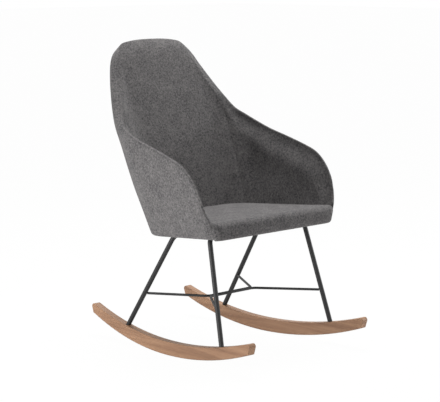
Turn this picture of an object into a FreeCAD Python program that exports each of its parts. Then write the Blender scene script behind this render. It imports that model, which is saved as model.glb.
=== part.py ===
import FreeCAD, Part
import math
import os
import Sketcher

# Rocking chair: an upholstered tub shell on a bent-tube steel frame with two solid wood rockers.
# Millimetres. +Z up, the sitter faces -Y, X is the width. Origin: centre of the footprint, on the floor.

V = FreeCAD.Vector
ROT = FreeCAD.Rotation
doc = FreeCAD.newDocument("RockingChair")
sheet = doc.addObject("Spreadsheet::Sheet", "Sizes")

# alias, value, what it is
sizes = [
    # shell
    ("shellHeight", 962.0, "floor to the top of the back"),
    ("topY", 364.0, "rear face of the back at the top"),
    ("backLean", 0.35, "rearward run of the back per millimetre of height"),
    ("frontY", -236.0, "front line of the seat"),
    ("frontCorner", 50.0, "plan radius of the front corners"),
    ("baseZ", 367.0, "underside of the shell above the origin"),
    ("baseRake", 5.5, "backward slope of the underside, degrees"),
    ("armHalfWidth", 311.0, "half the width over the arms"),
    ("baseHalfWidth", 252.0, "half the width of the underside"),
    ("armTaper", 26.0, "arms draw in by this much from front to rear"),
    ("seatHalfWidth", 292.0, "half the width at the seat surface"),
    ("seatTaper", 54.0, "shell draws in by this much from front to rear at the seat"),
    ("baseTaper", 32.0, "underside draws in by this much from front to rear"),
    ("shoulderHalfWidth", 272.0, "half the width where the arms leave the back"),
    ("headHalfWidth", 212.0, "half the width at head height"),
    ("topHalfWidth", 150.0, "half the width at the top, before the corners"),
    ("topCorner", 88.0, "radius of the top corners, seen from the front"),
    ("topCornerX", 101.0, "centre of the top corners from the middle"),
    ("topCrown", 6.0, "rise of the top edge between its corners"),
    ("topTaper", 0.48, "inward run of the head's sides per millimetre of height"),
    ("headFlare", 0.62, "outward run of the head's sides below that"),
    ("seatRise", 80.0, "widest part of the seat above the underside"),
    ("elbowDrop", 84.0, "where the arms begin to draw in, below their rim"),
    ("shoulderRise", 94.0, "shoulder above the arm rim"),
    ("headDrop", 104.0, "head's widest part below the top"),
    ("rearCornerBase", 116.0, "plan radius of the rear corners at the underside"),
    ("rearCornerSeat", 122.0, "the same at the seat"),
    ("rearCornerElbow", 146.0, "the same at the elbow"),
    ("rearCornerArm", 150.0, "the same at the arm rim"),
    ("rearCornerShoulder", 116.0, "the same at the shoulder"),
    ("rearCornerHead", 62.0, "the same at the head"),
    ("rearCornerTop", 46.0, "the same at the top"),
    ("wingReach", 4.0, "wings stand this far in front of the back panel"),
    ("seamLowY", 58.0, "inner seam at the seat"),
    ("seamHighY", 229.0, "inner seam at the shoulder"),
    ("armCrestZ", 624.0, "highest part of the arm rim"),
    ("sideWall", 34.0, "thickness of the arms"),
    ("backWall", 53.0, "thickness of the back at mid height"),
    ("backSwell", 0.24, "share by which the back is thicker at the seat and thinner at the top"),
    ("coverSkin", 1.6, "thickness of the covers"),
    ("coreWall", 6.0, "thickness of the moulded core"),
    ("softGap", 0.3, "clearance between soft pieces"),
    ("seatThick", 61.0, "underside to seat surface"),
    ("seatRoll", 22.0, "radius of the seat's front edge"),
    ("boardThick", 12.0, "seat board"),
    ("battenWidth", 23.0, "batten round the board's underside, which the cover is turned under"),
    ("recessDepth", 24.0, "depth of the recess that the batten leaves for the frame"),
    # frame
    ("tubeDia", 15.0, "leg tube"),
    ("tubeWall", 2.0, "leg tube wall"),
    ("tubeBend", 28.0, "bend radius of the leg tubes"),
    ("barDia", 8.0, "stretcher rod"),
    ("barBend", 26.0, "bend radius of the stretcher rods"),
    ("weldGap", 0.1, "clearance left at a welded touch"),
    ("frontFootX", 244.4, "front leg at the rocker, half spacing"),
    ("frontFootY", -247.6, "front leg at the rocker"),
    ("rearFootX", 216.8, "rear leg at the rocker, half spacing"),
    ("rearFootY", 208.2, "rear leg at the rocker"),
    ("frontTopX", 209.5, "front leg where it turns under the seat, half spacing"),
    ("frontTopY", -159.7, "front leg under the seat"),
    ("rearTopX", 194.5, "rear leg where it turns under the seat, half spacing"),
    ("rearTopY", 8.0, "rear leg under the seat"),
    ("stretcherZ", 172.0, "height of the stretcher rods"),
    ("stretcherY", -41.6, "centre bar of the stretcher"),
    ("stretcherHalf", 95.7, "half length of the centre bar"),
    # seat fixing
    ("strapX", 110.0, "half spacing of the mounting straps"),
    ("strapWidth", 32.0, "mounting strap"),
    ("strapThick", 4.0, "mounting strap"),
    ("boltDia", 8.0, "frame bolt"),
    ("boltClear", 0.3, "radial clearance round a bolt"),
    ("boltInset", 42.0, "bolt from the leg tube it stands beside"),
    ("headDia", 15.0, "frame bolt head"),
    ("headThick", 5.0, "frame bolt head"),
    ("washerDia", 22.0, "washer"),
    ("washerThick", 1.6, "washer"),
    ("teeFlangeDia", 24.0, "tee nut flange"),
    ("teeFlangeThick", 1.6, "tee nut flange"),
    ("teeBarrelDia", 11.0, "tee nut barrel"),
    # rockers
    ("rockerLength", 784.0, "over the tips, along Y"),
    ("rockerWidth", 27.0, "rocker"),
    ("rockerDepth", 42.7, "rocker height at the floor contact"),
    ("frontTipDepth", 34.0, "rocker height at the front tip"),
    ("rearTipDepth", 31.0, "rocker height at the rear tip"),
    ("frontTipLift", 74.0, "underside of the front tip above the floor"),
    ("rearTipLift", 77.0, "underside of the rear tip above the floor"),
    ("contactY", 14.0, "where the rockers touch the floor"),
    ("tipSlant", 12.0, "lower corner of a tip stands this far inside the upper one"),
    ("tipRound", 9.0, "rounded upper corner of the tips"),
    ("edgeRound", 2.5, "eased rocker edges"),
    ("socketDepth", 24.0, "leg socket in the rocker"),
    ("socketClear", 0.1, "radial clearance of the leg in its socket"),
    ("plugLength", 22.0, "threaded plug in the leg end"),
    ("screwDia", 6.0, "rocker screw"),
    ("screwHeadDia", 10.0, "rocker screw head"),
    ("screwHeadThick", 6.0, "rocker screw head"),
    ("screwWasherDia", 14.0, "rocker screw washer"),
    ("screwWasherThick", 1.5, "rocker screw washer"),
    ("screwRecess", 11.0, "depth of the screw head's recess"),
    ("screwGrip", 14.0, "screw engaged in the plug"),
]
for row, (alias, value, meaning) in enumerate(sizes, start=1):
    sheet.set(f"A{row}", alias)
    sheet.set(f"B{row}", str(value))
    sheet.set(f"C{row}", meaning)
    sheet.setAlias(f"B{row}", alias)
doc.recompute()


def size(alias):
    return float(sheet.get(alias))


# ---------------------------------------------------------------- small geometry helpers

def arcThrough(start, centre, end):
    """Arc round a centre, from start to end by the short way."""
    middle = centre + ((start - centre) + (end - centre)).normalize() * (start - centre).Length
    return Part.Arc(start, middle, end)


def bentPath(points, bend):
    """Straight runs through the points, joined by tangent arcs of one radius."""
    path = []
    start = points[0]
    for before, corner, after in zip(points, points[1:], points[2:]):
        back = (before - corner).normalize()
        ahead = (after - corner).normalize()
        half = back.getAngle(ahead) / 2
        reach = bend / math.tan(half)
        centre = corner + (back + ahead).normalize() * (bend / math.sin(half))
        leave = corner + back * reach
        join = corner + ahead * reach
        path.append(Part.LineSegment(start, leave))
        path.append(arcThrough(leave, centre, join))
        start = join
    path.append(Part.LineSegment(start, points[-1]))
    return path


def prism(curves, direction):
    """Solid swept straight from a closed outline."""
    wire = Part.Wire([curve.toShape() for curve in curves])
    return Part.Face(wire).extrude(direction)


def feature(label, shape):
    """A document object that carries a worked-out shape."""
    item = doc.addObject("Part::Feature", label)
    item.Label = label
    item.Shape = shape
    item.Placement = FreeCAD.Placement()
    return item


def originPlane(body, role):
    return [plane for plane in body.Origin.OriginFeatures if plane.Role == role][0]


def bodySketch(body, name, role="XY_Plane"):
    sketch = body.newObject("Sketcher::SketchObject", name)
    sketch.AttachmentSupport = [(originPlane(body, role), "")]
    sketch.MapMode = "FlatFace"
    return sketch


# ---------------------------------------------------------------- where the shell lies

rake = math.radians(size("baseRake"))


def backY(z):
    """Rear face of the back at a height."""
    return size("topY") - size("backLean") * (size("shellHeight") - z)


def basePoint(y, above=0.0):
    """Point on the middle line of the underside, or that far above it, square to it."""
    z = size("baseZ") - y * math.tan(rake)
    return V(0, y + above * math.sin(rake), z + above * math.cos(rake))


def baseSlab(low, high):
    """Everything between two distances above the underside."""
    slab = Part.makeBox(1000, 1200, high - low, V(-500, -600, low))
    slab.rotate(V(0, 0, 0), V(1, 0, 0), -size("baseRake"))
    slab.translate(V(0, 0, size("baseZ")))
    return slab


# ---------------------------------------------------------------- the tub

# Plan of the tub at some heights: height, tilt, half width at the front and at the rear, and the
# radius of the rear corners. The first and last lie past the ends of the shell.
crest = size("armCrestZ")
top = size("shellHeight")
arm = size("armHalfWidth")
seatHalf = size("seatHalfWidth")
baseHalf = size("baseHalfWidth")
shoulder = size("shoulderHalfWidth")
head = size("headHalfWidth")
crown = size("topHalfWidth")
past = 20.0
stations = [
    (size("baseZ") - past, size("baseRake"), baseHalf - 6, baseHalf - size("baseTaper"),
     size("rearCornerBase")),
    (size("baseZ") + size("seatRise"), size("baseRake") * 0.6, seatHalf, seatHalf - size("seatTaper"),
     size("rearCornerSeat")),
    (crest - size("elbowDrop"), 0.0, arm - 4, arm - size("armTaper") - 10, size("rearCornerElbow")),
    (crest + 8, 0.0, arm, arm - size("armTaper"), size("rearCornerArm")),
    (crest + size("shoulderRise"), 0.0, shoulder + 10, shoulder, size("rearCornerShoulder")),
    (top - size("headDrop"), 0.0, head, head, size("rearCornerHead")),
    (top + past, 0.0, crown, crown, size("rearCornerTop")),
]


def roundedOutline(corners, radii):
    """Closed outline of straight sides and tangent corner arcs."""
    count = len(corners)
    arcs = []
    for n, radius in enumerate(radii):
        corner = corners[n]
        back = (corners[n - 1] - corner).normalize()
        ahead = (corners[(n + 1) % count] - corner).normalize()
        opening = back.getAngle(ahead) / 2
        reach = radius / math.tan(opening)
        centre = corner + (back + ahead).normalize() * (radius / math.sin(opening))
        arcs.append(arcThrough(corner + back * reach, centre, corner + ahead * reach))
    edges = []
    for arc, after in zip(arcs, arcs[1:] + arcs[:1]):
        edges.append(arc)
        edges.append(Part.LineSegment(arc.EndPoint, after.StartPoint))
    return Part.Wire([edge.toShape() for edge in edges])


def planWire(station, side, rear, front):
    """Tub outline at one station, set in by the given amounts; a negative front reaches out."""
    z, tilt, frontHalf, rearHalf, radius = station
    share = (z - size("baseZ")) / (top - size("baseZ"))
    deep = rear * (1 + size("backSwell") * (1 - 2 * share))
    far = backY(z) - deep
    near = size("frontY") + front
    nose = max(size("frontCorner") - side, 6.0)
    round_ = max(radius - (side + deep) / 2, 8.0)
    corners = [V(-frontHalf + side, near, 0), V(frontHalf - side, near, 0),
               V(rearHalf - side, far, 0), V(-rearHalf + side, far, 0)]
    wire = roundedOutline(corners, [nose, nose, round_, round_])
    wire.Placement = FreeCAD.Placement(V(0, 0, z), ROT(V(1, 0, 0), -tilt))
    return wire


def tub(side, rear, front):
    """The tub as a full solid, set in from its outer face."""
    return Part.makeLoft([planWire(s, side, rear, front) for s in stations], True, False)


def rimOutline():
    """Side view of all that lies under the rim, which runs from the seat front to the top."""
    wing = crest + 112
    reach = size("backWall") + size("wingReach")
    nose = size("frontY")
    run = [
        V(0, nose + 6, size("baseZ") + 78),
        V(0, nose + 27, crest - 118),
        V(0, nose + 54, crest - 66),
        V(0, nose + 98, crest - 22),
        V(0, nose + 150, crest),
        V(0, nose + 228, crest + 20),
        V(0, nose + 308, crest + 39),
        V(0, backY(wing) - reach - 66, wing - 44),
        V(0, backY(wing) - reach - 20, wing - 14),
        V(0, backY(wing + 46) - reach - 2, wing + 46),
        V(0, backY(top - size("headDrop")) - reach, top - size("headDrop")),
        V(0, backY(top + 40) - reach, top + 40),
    ]
    rim = Part.BSplineCurve()
    rim.interpolate(run)
    first, last = rim.StartPoint, rim.EndPoint
    turns = [last, V(0, 700, last.z), V(0, 700, 200), V(0, first.y - 60, 200),
             V(0, first.y - 60, first.z), first]
    return [rim] + [Part.LineSegment(a, b) for a, b in zip(turns, turns[1:])]


def topOutline(inset):
    """Front view of the head: a slightly crowned top and two large corners."""
    r = size("topCorner") - inset
    cx = size("topCornerX")
    cz = top - size("topCrown") - inset - r
    taper = math.atan2(1.0, size("topTaper"))
    edge = V(cx + r * math.sin(taper), 0, cz + r * math.cos(taper))
    flare = edge + V(size("headFlare"), 0, -1.0) * 300
    foot = V(flare.x, 0, 200)
    high = V(cx, 0, cz + r)
    centre = V(cx, 0, cz)
    flip = lambda p: V(-p.x, p.y, p.z)
    crownArc = Part.Arc(flip(high), V(0, 0, top - inset), high)
    return [
        crownArc,
        arcThrough(high, centre, edge),
        Part.LineSegment(edge, flare),
        Part.LineSegment(flare, foot),
        Part.LineSegment(foot, flip(foot)),
        Part.LineSegment(flip(foot), flip(flare)),
        Part.LineSegment(flip(flare), flip(edge)),
        arcThrough(flip(edge), flip(centre), flip(high)),
    ]


def headPrism(inset):
    solid = prism(topOutline(inset), V(0, 1400, 0))
    solid.translate(V(0, -700, 0))
    return solid


def rimPrism(inset):
    solid = prism(rimOutline(), V(1000, 0, 0))
    solid.translate(V(-500, inset, -inset))
    return solid


skin = size("coverSkin")
gap = size("softGap")
side = size("sideWall")
rear = size("backWall")
coreIn = skin + size("coreWall")
recess = size("recessDepth")
boardTop = recess + size("boardThick")
openFront = -90.0
overHead = 900.0

outer = tub(0, 0, 0).common(rimPrism(0)).common(headPrism(0))
lining = tub(skin, skin, skin)
stuffing = lining.common(rimPrism(skin)).common(headPrism(skin)).common(baseSlab(boardTop, overHead))
cavity = tub(side, rear, openFront)

wallFull = outer.common(baseSlab(0, overHead)).cut(cavity)
wallInside = stuffing.cut(tub(side - skin, rear - skin, openFront))
turned = size("battenWidth")
recessSolid = tub(turned, turned, turned).common(baseSlab(-5, recess))
boardSolid = lining.common(baseSlab(recess, boardTop))
battenSolid = lining.common(baseSlab(skin, recess)).cut(recessSolid)
underSkin = lining.common(baseSlab(skin, boardTop))
wallSkin = wallFull.cut(wallInside).cut(baseSlab(-1, boardTop))
bandSkin = wallFull.common(baseSlab(skin, boardTop)).cut(underSkin)
hem = outer.common(baseSlab(0, skin)).cut(recessSolid)
seamLine = tub(side / 2, rear / 2, openFront).common(baseSlab(boardTop, overHead))


def armZone():
    """Everything in front of the slanted seam between the back panel and the arm panels."""
    low = V(0, size("seamLowY"), size("baseZ"))
    high = V(0, size("seamHighY"), crest + 150)
    start = low - (high - low).normalize() * 200
    corners = [start, high, V(0, -900, high.z), V(0, -900, start.z), start]
    solid = prism([Part.LineSegment(a, b) for a, b in zip(corners, corners[1:])], V(1000, 0, 0))
    solid.translate(V(-500, 0, 0))
    return solid


def half(sign):
    """Everything on one side of the middle plane."""
    return Part.makeBox(600, 1400, 1400, V(0 if sign > 0 else -600, -700, 0))


armSide = armZone()

feature("outer_cover", wallSkin.cut(seamLine).fuse(bandSkin).fuse(hem).removeSplitter())
innerSkin = wallSkin.common(seamLine)
feature("inner_back_cover", innerSkin.cut(armSide))
feature("inner_arm_cover_left", innerSkin.common(armSide).common(half(1)))
feature("inner_arm_cover_right", innerSkin.common(armSide).common(half(-1)))

coreSolid = wallInside.cut(tub(coreIn, coreIn, openFront))
coreSolid = coreSolid.common(rimPrism(coreIn + skin)).common(headPrism(coreIn + skin))
feature("shell_core", coreSolid)
foam = wallInside.cut(coreSolid)
feature("back_foam", foam.cut(armSide))
feature("arm_foam_left", foam.common(armSide).common(half(1)))
feature("arm_foam_right", foam.common(armSide).common(half(-1)))


# ---------------------------------------------------------------- the seat

def seatPrism(inset):
    """Side view of the seat: flat top, rounded front edge, open to the rear."""
    roll = size("seatRoll")
    near = size("frontY") + inset
    high = size("seatThick") - inset
    low = -20.0
    outline = [
        Part.LineSegment(V(0, near, low), V(0, near, high - roll)),
        arcThrough(V(0, near, high - roll), V(0, near + roll, high - roll), V(0, near + roll, high)),
        Part.LineSegment(V(0, near + roll, high), V(0, 500, high)),
        Part.LineSegment(V(0, 500, high), V(0, 500, low)),
        Part.LineSegment(V(0, 500, low), V(0, near, low)),
    ]
    solid = prism(outline, V(1000, 0, 0))
    solid.translate(V(-500, 0, 0))
    solid.rotate(V(0, 0, 0), V(1, 0, 0), -size("baseRake"))
    solid.translate(V(0, 0, size("baseZ")))
    return solid


padFull = outer.common(tub(side + gap, rear + gap, openFront)).common(seatPrism(0))
padFull = padFull.common(baseSlab(skin, overHead))
padInside = stuffing.common(tub(side + gap + skin, rear + gap + skin, openFront)).common(seatPrism(skin))
feature("seat_cover", padFull.cut(padInside).cut(underSkin))
feature("seat_foam", padInside)
feature("edge_batten", battenSolid)
lineIn = turned + gap
feature("dust_cover", tub(lineIn, lineIn, lineIn).common(baseSlab(recess - skin, recess)))


# ---------------------------------------------------------------- the frame under the seat

tubeR = size("tubeDia") / 2
strapThick = size("strapThick")
strapTop = recess - skin
strapLow = strapTop - strapThick
runLevel = strapLow - size("weldGap") - tubeR
rakeTurn = ROT(V(1, 0, 0), -size("baseRake"))


def alignY(direction):
    """Turn that carries local Y onto a direction in the side plane."""
    return ROT(V(1, 0, 0), math.degrees(math.atan2(direction.z, direction.y)))


def pipeBody(label, points, bend, dia, wall, placement):
    """Bent tube or rod along a flat route in the body's XY plane."""
    body = doc.addObject("PartDesign::Body", label)
    body.Label = label
    route = bodySketch(body, label + "_route")
    for curve in bentPath(points, bend):
        route.addGeometry(curve, False)
    doc.recompute()
    ring = body.newObject("Sketcher::SketchObject", label + "_section")
    ring.AttachmentSupport = [(route, "Edge1")]
    ring.MapMode = "NormalToEdge"
    ring.addGeometry(Part.Circle(V(0, 0, 0), V(0, 0, 1), size(dia) / 2), False)
    ring.addConstraint(Sketcher.Constraint("Coincident", 0, 3, -1, 1))
    rim = ring.addConstraint(Sketcher.Constraint("Radius", 0, size(dia) / 2))
    ring.setExpression(f"Constraints[{rim}]", f"Sizes.{dia} / 2")
    if wall:
        ring.addGeometry(Part.Circle(V(0, 0, 0), V(0, 0, 1), size(dia) / 2 - size(wall)), False)
        ring.addConstraint(Sketcher.Constraint("Coincident", 1, 3, -1, 1))
        bore = ring.addConstraint(Sketcher.Constraint("Radius", 1, size(dia) / 2 - size(wall)))
        ring.setExpression(f"Constraints[{bore}]", f"Sizes.{dia} / 2 - Sizes.{wall}")
    doc.recompute()
    pipe = body.newObject("PartDesign::AdditivePipe", label + "_pipe")
    pipe.Profile = ring
    pipe.Spine = (route, [f"Edge{n + 1}" for n in range(2 * len(points) - 3)])
    body.Tip = pipe
    body.Placement = placement
    return body


class Leg:
    """One pair of legs: where they meet the rockers, and the tilted plane of their tube."""

    def __init__(self, footX, footY, topX, topY):
        self.foot = V(footX, footY, rockerTop(footY))
        run = basePoint(topY, runLevel)
        rise = run - V(0, footY, self.foot.z)
        self.rise = rise.Length
        self.up = rise.normalize()
        self.topX = topX
        self.along = V(topX - footX, self.up.y * self.rise, self.up.z * self.rise).normalize()
        self.placement = FreeCAD.Placement(V(0, self.foot.y, self.foot.z), alignY(self.up))

    def mirrored(self, vector, sign):
        return V(sign * vector.x, vector.y, vector.z)

    def at(self, z, sign):
        """Point of the leg's middle line at a height."""
        point = self.foot + self.along * ((z - self.foot.z) / self.along.z)
        return self.mirrored(point, sign)

    def route(self):
        """The tube's line in its own plane, from socket bottom to socket bottom."""
        flat = V(self.topX - self.foot.x, self.rise, 0).normalize() * size("socketDepth")
        end = V(self.foot.x, 0, 0) - flat
        corner = V(self.topX, self.rise, 0)
        return [V(-end.x, end.y, 0), V(-corner.x, corner.y, 0), corner, end]


# ---------------------------------------------------------------- rockers

toe = math.atan2(size("frontFootX") - size("rearFootX"), size("rearFootY") - size("frontFootY"))
tipY = size("rockerLength") / 2 / math.cos(toe)
contact = size("contactY") / math.cos(toe)
depth = size("rockerDepth")


def arcRadius(run, rise):
    """Radius of an arc that leaves level ground and climbs by rise over run."""
    return (run * run + rise * rise) / (2 * rise)


def climb(radius, run):
    return radius - math.sqrt(radius * radius - run * run)


frontRun, rearRun = tipY + contact, tipY - contact
underFront = arcRadius(frontRun, size("frontTipLift"))
underRear = arcRadius(rearRun, size("rearTipLift"))
overFront = arcRadius(frontRun, size("frontTipLift") + size("frontTipDepth") - depth)
overRear = arcRadius(rearRun, size("rearTipLift") + size("rearTipDepth") - depth)


def rockerTop(y):
    """Height of the rocker's upper face at a place along the chair."""
    run = y / math.cos(toe) - contact
    return depth + climb(overRear if run > 0 else overFront, abs(run))


def rockerCurve(radius, base, tip):
    """Arc that leaves the floor contact level and ends at a tip, in the rocker's own plane."""
    run = abs(tip - contact)
    halfway = math.asin(run / radius) / 2
    sign = 1 if tip > contact else -1
    middle = V(contact + sign * radius * math.sin(halfway), base + radius * (1 - math.cos(halfway)), 0)
    return Part.Arc(V(contact, base, 0), middle, V(tip, base + climb(radius, run), 0))


def rockerBlank(label):
    """Rocker before drilling: two tangent arcs below, two above, cut across at the tips."""
    body = doc.addObject("PartDesign::Body", label)
    profile = bodySketch(body, label + "_profile", "YZ_Plane")
    lean = size("tipSlant")
    under = [rockerCurve(underFront, 0, -tipY + lean), rockerCurve(underRear, 0, tipY - lean)]
    over = [rockerCurve(overFront, depth, -tipY), rockerCurve(overRear, depth, tipY)]
    for curve in under + over:
        profile.addGeometry(curve, False)
    for low, high in zip(under, over):
        profile.addGeometry(Part.LineSegment(low.EndPoint, high.EndPoint), False)
    doc.recompute()
    pad = body.newObject("PartDesign::Pad", label + "_pad")
    pad.Profile = profile
    pad.Midplane = True
    pad.setExpression("Length", "Sizes.rockerWidth")
    doc.recompute()
    tips = []
    for number, edge in enumerate(pad.Shape.Edges, start=1):
        ends = [vertex.Point for vertex in edge.Vertexes]
        across = len(ends) == 2 and abs(abs(ends[0].x - ends[1].x) - size("rockerWidth")) < 0.01
        if across and abs(ends[0].y) > tipY - 0.5:
            tips.append(f"Edge{number}")
    rounding = body.newObject("PartDesign::Fillet", label + "_tips")
    rounding.Base = (pad, tips)
    rounding.setExpression("Radius", "Sizes.tipRound")
    doc.recompute()
    lengthwise = []
    for number, edge in enumerate(rounding.Shape.Edges, start=1):
        if edge.BoundBox.XLength < 1 and edge.Length > 2 * depth:
            lengthwise.append(f"Edge{number}")
    easing = body.newObject("PartDesign::Fillet", label + "_edges")
    easing.Base = (rounding, lengthwise)
    easing.setExpression("Radius", "Sizes.edgeRound")
    body.Tip = easing
    doc.recompute()
    return body


def rockerPlacement(sign):
    slope = (size("frontFootX") - size("rearFootX")) / (size("rearFootY") - size("frontFootY"))
    middle = size("frontFootX") + slope * size("frontFootY")
    return FreeCAD.Placement(V(sign * middle, 0, 0), ROT(V(0, 0, 1), sign * math.degrees(toe)))


front = Leg(size("frontFootX"), size("frontFootY"), size("frontTopX"), size("frontTopY"))
back = Leg(size("rearFootX"), size("rearFootY"), size("rearTopX"), size("rearTopY"))
pipeBody("front_leg_tube", front.route(), size("tubeBend"), "tubeDia", "tubeWall", front.placement)
pipeBody("rear_leg_tube", back.route(), size("tubeBend"), "tubeDia", "tubeWall", back.placement)


def drilling(start, direction, radius, length):
    return Part.makeCylinder(radius, length, start, direction)


def belowSpan(blank, foot, direction):
    """How far under the foot the leg's line leaves the rocker."""
    line = Part.makeLine(foot + direction * 5, foot - direction * 200)
    inside = line.common(blank)
    lowest = min((vertex.Point for vertex in inside.Vertexes), key=lambda point: point.z)
    return (foot - lowest).Length


fasteners = {"rocker_screws": [], "rocker_washers": [], "leg_end_plugs": []}


def screwLine(blank, leg, sign):
    """Drillings of one leg joint, and the plug, screw and washer that hold it."""
    foot = leg.mirrored(leg.foot, sign)
    up = leg.mirrored(leg.along, sign)
    exitDepth = belowSpan(blank, foot, up)
    under = foot - up * exitDepth
    socket = foot - up * size("socketDepth")
    seatPoint = under + up * size("screwRecess")
    screwR = size("screwDia") / 2
    free = size("socketClear")
    recessR = size("screwWasherDia") / 2 + free
    tools = [
        drilling(socket, up, tubeR + free, size("socketDepth") + 40),
        drilling(under - up * 20, up, screwR + free, exitDepth),
        drilling(under - up * 20, up, recessR, size("screwRecess") + 20),
    ]
    washer = drilling(seatPoint, -up, size("screwWasherDia") / 2, size("screwWasherThick"))
    washer = washer.cut(drilling(seatPoint, -up, screwR + free, size("screwWasherThick")))
    headTop = seatPoint - up * size("screwWasherThick")
    shank = (socket - headTop).Length + size("screwGrip")
    screw = drilling(headTop, up, screwR, shank)
    screw = screw.fuse(drilling(headTop, -up, size("screwHeadDia") / 2, size("screwHeadThick")))
    key = drilling(headTop - up * size("screwHeadThick"), up, screwR * 0.8, size("screwHeadThick") / 2)
    plug = drilling(socket, up, tubeR - size("tubeWall") - free / 2, size("plugLength"))
    plug = plug.cut(drilling(socket, up, screwR + free, size("screwGrip") + 2))
    fasteners["rocker_screws"].append(screw.cut(key))
    fasteners["rocker_washers"].append(washer)
    fasteners["leg_end_plugs"].append(plug)
    return tools


for name, sign in (("rocker_left", 1), ("rocker_right", -1)):
    body = rockerBlank(name + "_blank")
    blank = body.Shape.copy()
    blank.Placement = rockerPlacement(sign)
    for leg in (front, back):
        for tool in screwLine(blank, leg, sign):
            blank = blank.cut(tool)
    feature(name, blank)

for label, solids in fasteners.items():
    feature(label, Part.makeCompound(solids))


# ---------------------------------------------------------------- stretcher

barR = size("barDia") / 2


def stretcher(label, leg, sign):
    """Rod from leg to leg by way of the centre bar; sign tells which side of the bar it lies."""
    level = size("stretcherZ")
    centre = size("stretcherY") + sign * (barR + size("weldGap") / 2)
    corner = V(size("stretcherHalf"), centre, 0)
    meet = leg.at(level, 1)
    meet.z = 0
    end = meet - (meet - corner).normalize() * (tubeR / leg.along.z + size("weldGap"))
    points = [V(-end.x, end.y, 0), V(-corner.x, corner.y, 0), corner, end]
    pipeBody(label, points, size("barBend"), "barDia", None, FreeCAD.Placement(V(0, 0, level), ROT()))


stretcher("rear_stretcher_rod", back, 1)
stretcher("front_stretcher_rod", front, -1)


# ---------------------------------------------------------------- seat board, straps and their bolts

frontRunY = size("frontTopY")
rearRunY = size("rearTopY")
boltYs = (frontRunY + size("boltInset"), rearRunY - size("boltInset"))
boltSpots = [(x, y) for x in (-size("strapX"), size("strapX")) for y in boltYs]
boltR = size("boltDia") / 2
boreR = boltR + size("boltClear")


def drop(x, y, above):
    """Point that far above the underside, under or over a bolt."""
    point = basePoint(y, above)
    return V(x, point.y, point.z)


normal = basePoint(0, 1) - basePoint(0, 0)


def post(x, y, low, high, radius):
    """Upright cylinder, square to the underside, between two distances above it."""
    return Part.makeCylinder(radius, high - low, drop(x, y, low), normal)


def strapBody(label, x):
    """Flat bar across the two leg tubes, with a hole for each bolt."""
    body = doc.addObject("PartDesign::Body", label)
    body.Label = label
    plan = bodySketch(body, label + "_plan")
    halfW = size("strapWidth") / 2
    slope = math.cos(rake)
    low = (frontRunY - tubeR) / slope
    high = (rearRunY + tubeR) / slope
    corners = [V(-halfW, low, 0), V(halfW, low, 0), V(halfW, high, 0), V(-halfW, high, 0)]
    for a, b in zip(corners, corners[1:] + corners[:1]):
        plan.addGeometry(Part.LineSegment(a, b), False)
    for y in boltYs:
        plan.addGeometry(Part.Circle(V(0, y / slope, 0), V(0, 0, 1), boreR), False)
    doc.recompute()
    pad = body.newObject("PartDesign::Pad", label + "_plate")
    pad.Profile = plan
    pad.Reversed = True
    pad.setExpression("Length", "Sizes.strapThick")
    body.Tip = pad
    body.Placement = FreeCAD.Placement(V(x, 0, size("baseZ")) + normal * strapTop, rakeTurn)
    return body


strapBody("mounting_strap_left", size("strapX"))
strapBody("mounting_strap_right", -size("strapX"))

teeR = size("teeBarrelDia") / 2
flangeR = size("teeFlangeDia") / 2
flangeLow = boardTop - size("teeFlangeThick")
board = boardSolid
dust = doc.getObject("dust_cover").Shape
bolts, washers, tees = [], [], []
washerLow = strapLow - size("washerThick")
headLow = washerLow - size("headThick")
for x, y in boltSpots:
    board = board.cut(post(x, y, recess - 1, boardTop + 1, teeR + size("socketClear")))
    board = board.cut(post(x, y, flangeLow, boardTop + 1, flangeR + size("socketClear")))
    dust = dust.cut(post(x, y, strapTop - 1, recess + 1, boreR))
    tee = post(x, y, recess, boardTop, teeR).fuse(post(x, y, flangeLow, boardTop, flangeR))
    tees.append(tee.cut(post(x, y, recess, boardTop, boltR + size("socketClear"))))
    shank = post(x, y, headLow + size("headThick"), boardTop - 1, boltR)
    head = post(x, y, headLow, headLow + size("headThick"), size("headDia") / 2)
    key = post(x, y, headLow, headLow + size("headThick") / 2, boltR * 0.6)
    bolts.append(shank.fuse(head).cut(key))
    disc = post(x, y, washerLow, strapLow, size("washerDia") / 2)
    washers.append(disc.cut(post(x, y, washerLow, strapLow, boreR)))
doc.getObject("dust_cover").Shape = dust
feature("seat_board", board)
feature("tee_nuts", Part.makeCompound(tees))
feature("frame_bolts", Part.makeCompound(bolts))
feature("frame_washers", Part.makeCompound(washers))


# ---------------------------------------------------------------- write the pieces

nodes = [
    "outer_cover", "inner_back_cover", "inner_arm_cover_left", "inner_arm_cover_right",
    "shell_core", "back_foam", "arm_foam_left", "arm_foam_right",
    "seat_cover", "seat_foam", "seat_board", "edge_batten", "dust_cover", "tee_nuts",
    "frame_bolts", "frame_washers", "mounting_strap_left", "mounting_strap_right",
    "front_leg_tube", "rear_leg_tube", "front_stretcher_rod", "rear_stretcher_rod",
    "leg_end_plugs", "rocker_left", "rocker_right", "rocker_washers", "rocker_screws",
]
doc.recompute()
for item in doc.Objects:
    if "Invalid" in item.State or "Error" in item.State:
        raise RuntimeError(f"{item.Label} failed to build: {item.State}")
os.makedirs("parts", exist_ok=True)
for label in nodes:
    shape = doc.getObjectsByLabel(label)[0].Shape
    if shape.isNull() or not shape.isValid():
        raise RuntimeError(f"{label} has no valid shape")
    shape.exportStep(f"parts/{label}.step")
    print(f"{label}: {len(shape.Solids)} solids, {shape.Volume / 1000:.1f} cm3")
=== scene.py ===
import bpy, bmesh, math
import numpy as np
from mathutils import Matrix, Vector
from mathutils.bvhtree import BVHTree


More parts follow.
